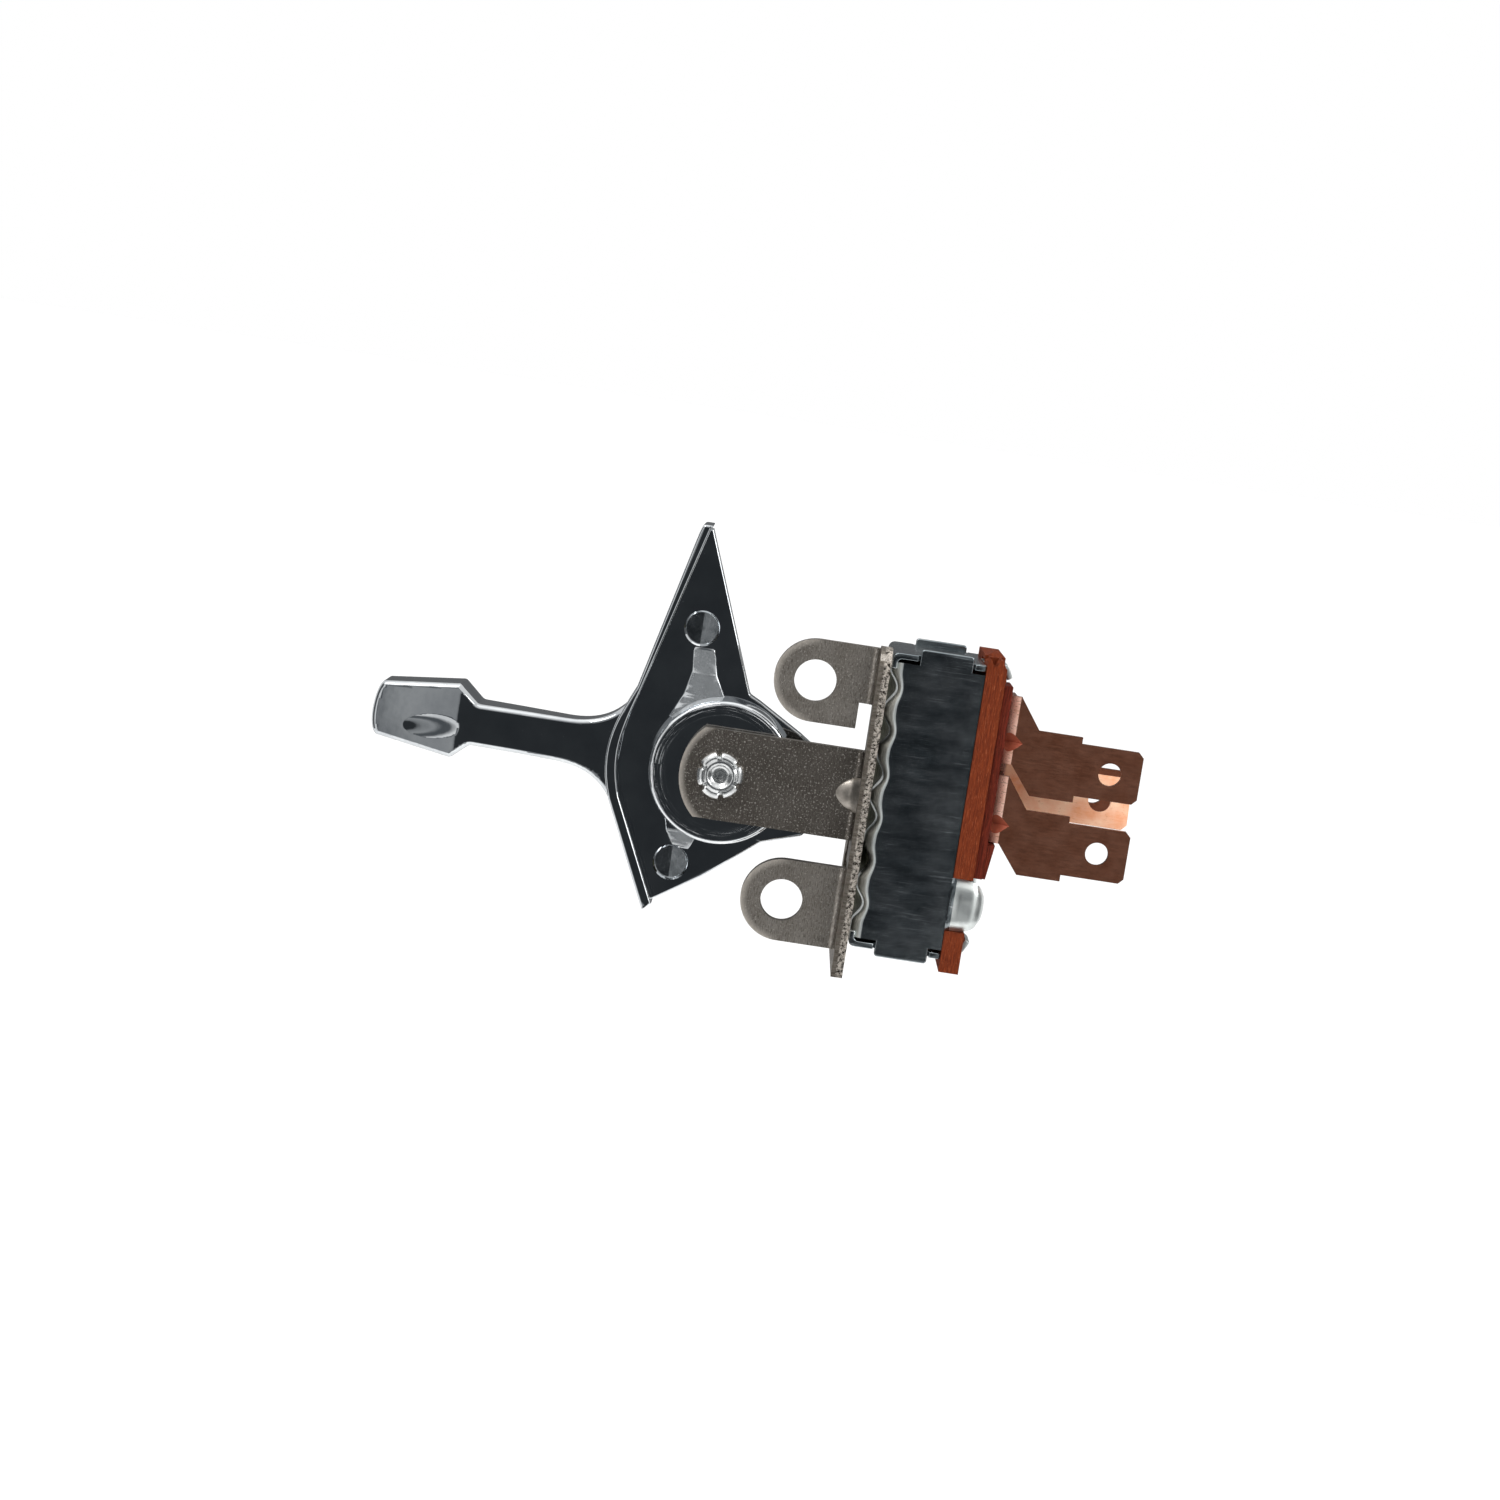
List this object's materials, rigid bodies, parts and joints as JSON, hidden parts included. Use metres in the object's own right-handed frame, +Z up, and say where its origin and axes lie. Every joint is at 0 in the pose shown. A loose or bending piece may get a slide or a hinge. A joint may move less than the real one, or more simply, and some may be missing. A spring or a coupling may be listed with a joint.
{
  "type": "lever-operated blower switch",
  "caption": "Lever-operated fan speed switch: plated thumb lever riveted to a bent mounting bracket, folded steel box with a wavy detent base, and copper blade terminals on a phenolic board.",
  "frame": {"origin": "midway between the two mounting ear screw holes, on the outer face of the ears", "axes": "+X from the thumb paddle towards the blade terminals, +Y from the ears' outer face into the switch, +Z up along the row of screw holes"},
  "size_m": [0.0933, 0.0197, 0.0513],
  "materials": {
    "chrome_plate": "dark mirror-like plated casting with light edges",
    "bright_steel": "bright turned steel, lightly marked by forming",
    "spring_steel": "plain steel",
    "nickel_steel": "satin nickel-plated sheet steel with a fine vertical grain and bright sheared edges",
    "zinc_steel": "blue-grey passivated sheet steel, glossy, with scratches and small specks",
    "phenolic_board": "orange-brown phenolic paper laminate with fibrous cut edges",
    "insulator": "dark red-brown insulating sheet",
    "copper": "dull brown copper with pinkish bright bends",
    "bright_copper": "bright orange copper",
    "contact_metal": "copper alloy contact metal",
    "carriage_resin": "black moulded insulating resin"
  },
  "bodies": {
    "base": {"mounting_bracket": "nickel_steel", "pivot_rivet": "bright_steel", "friction_washer": "spring_steel", "backing_washer": "spring_steel", "switch_housing": "zinc_steel", "terminal_board": "phenolic_board", "terminal_spacer": "insulator", "terminal_a": "copper", "terminal_b": "copper", "terminal_c": "bright_copper", "terminal_d": "copper", "contact_rivet_a": "contact_metal", "contact_rivet_b": "contact_metal", "contact_rivet_c": "contact_metal", "contact_rivet_d": "contact_metal"},
    "lever": {"lever": "chrome_plate"},
    "carriage": {"contact_carriage": "carriage_resin", "wiper_contact": "contact_metal", "wiper_spring_upper": "spring_steel", "wiper_spring_lower": "spring_steel", "detent_spring": "spring_steel"},
    "ball": {"detent_ball": "bright_steel"}
  },
  "joints": [
    {"name": "lever_pivot", "type": "hinge", "parent": "base", "child": "lever", "pos_m": [-0.0096, 0.0073, 0.00045], "axis": [0, 1, 0], "range_deg": [-28.1, 28.1]},
    {"name": "carriage_slide", "type": "slide", "parent": "base", "child": "carriage", "axis": [0, 0, 1], "range_m": [-0.0109, 0.0109]},
    {"name": "ball_slide", "type": "slide", "parent": "carriage", "child": "ball", "axis": [1, 0, 0], "range_m": [-0.0011, 0], "stiffness_N_per_m": 20, "springref_m": -0.0011, "deforming": ["detent_spring"]}
  ],
  "couplings": [
    {"joint": "carriage_slide", "follows": "lever_pivot", "m_per_rad": -0.0216}
  ]
}
